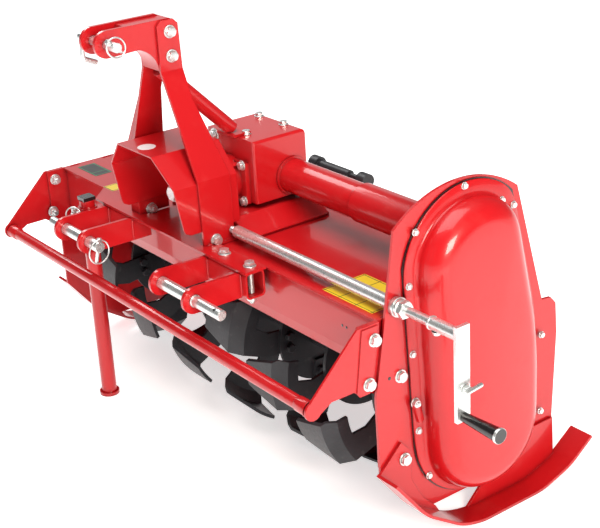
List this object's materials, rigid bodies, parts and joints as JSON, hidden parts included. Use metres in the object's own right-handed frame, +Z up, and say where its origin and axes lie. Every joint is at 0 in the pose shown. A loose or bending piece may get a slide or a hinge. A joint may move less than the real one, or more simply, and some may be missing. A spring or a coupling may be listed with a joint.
{
  "type": "side-shift rotary tiller",
  "caption": "Tractor-mounted rotary tiller with a three-point hitch, side-shift crank, domed chain case, bladed rotor, hinged rear board, skids and a stand leg.",
  "frame": {"origin": "on the ground, under the middle of the whole machine's box", "axes": "+X towards the chain-case side, -Y towards the tractor, +Z up"},
  "size_m": [1.516, 0.689, 0.934],
  "materials": {
    "red_paint": "glossy powder coat",
    "zinc_plated_steel": "bright zinc plating",
    "black_paint": "satin black paint",
    "black_plastic": "gloss"
  },
  "bodies": {
    "frame": {"hood": "red_paint", "front_beam": "red_paint", "end_plate_left": "red_paint", "end_plate_right": "red_paint", "guard_bracket_left": "red_paint", "guard_bracket_right": "red_paint", "guard_bar": "red_paint", "side_plate": "red_paint", "cover_gasket": "black_plastic", "chain_cover": "red_paint", "board_catch": "black_paint", "outer_sleeve": "red_paint", "crank_bushing": "zinc_plated_steel", "bearing_hub_left": "red_paint", "bearing_hub_right": "red_paint", "skid_left": "red_paint", "skid_right": "red_paint"},
    "carriage": {"carriage_plate": "red_paint", "saddle": "red_paint", "hitch_tube_left": "red_paint", "hitch_tube_right": "red_paint", "lower_ears_left": "red_paint", "lower_ears_right": "red_paint", "lower_pin_left": "zinc_plated_steel", "lower_pin_right": "zinc_plated_steel", "mast_arm_left": "red_paint", "mast_arm_right": "red_paint", "top_clevis": "red_paint", "top_pin": "zinc_plated_steel", "rear_brace": "red_paint", "gearbox": "red_paint", "inner_tube": "red_paint", "pto_shield": "red_paint", "shift_screw": "zinc_plated_steel", "leg_socket": "red_paint"},
    "rotor": {"rotor_shaft": "black_paint", "tine_discs": "black_paint"},
    "pto_shaft": {"pto_shaft": "zinc_plated_steel"},
    "crank": {"crank_tube": "zinc_plated_steel", "crank_arm": "zinc_plated_steel", "crank_grip": "black_plastic"},
    "rear_board": {"rear_board": "red_paint"},
    "stand_leg": {"stand_leg": "red_paint", "leg_cap": "black_plastic"}
  },
  "joints": [
    {"name": "rotor_spin", "type": "hinge", "parent": "frame", "child": "rotor", "pos_m": [-0.108, 0.0465, 0.232], "axis": [1, 0, 0], "continuous": true},
    {"name": "crank_turn", "type": "hinge", "parent": "frame", "child": "crank", "pos_m": [0.497, -0.1225, 0.496], "axis": [1, 0, 0], "range_deg": [0, 10800]},
    {"name": "side_shift", "type": "slide", "parent": "frame", "child": "carriage", "axis": [1, 0, 0], "range_m": [-0.18, 0]},
    {"name": "pto_spin", "type": "hinge", "parent": "carriage", "child": "pto_shaft", "pos_m": [-0.134, -0.0955, 0.56], "axis": [0, -1, 0], "continuous": true},
    {"name": "stand_lift", "type": "slide", "parent": "carriage", "child": "stand_leg", "axis": [0, 0, 1], "range_m": [0, 0.24]},
    {"name": "board_hinge", "type": "hinge", "parent": "frame", "child": "rear_board", "pos_m": [-0.108, 0.2725, 0.352], "axis": [1, 0, 0], "range_deg": [0, 70]}
  ],
  "couplings": [
    {"joint": "side_shift", "follows": "crank_turn", "m_per_rad": -0.000954},
    {"joint": "pto_spin", "follows": "rotor_spin", "ratio": 2.57}
  ]
}
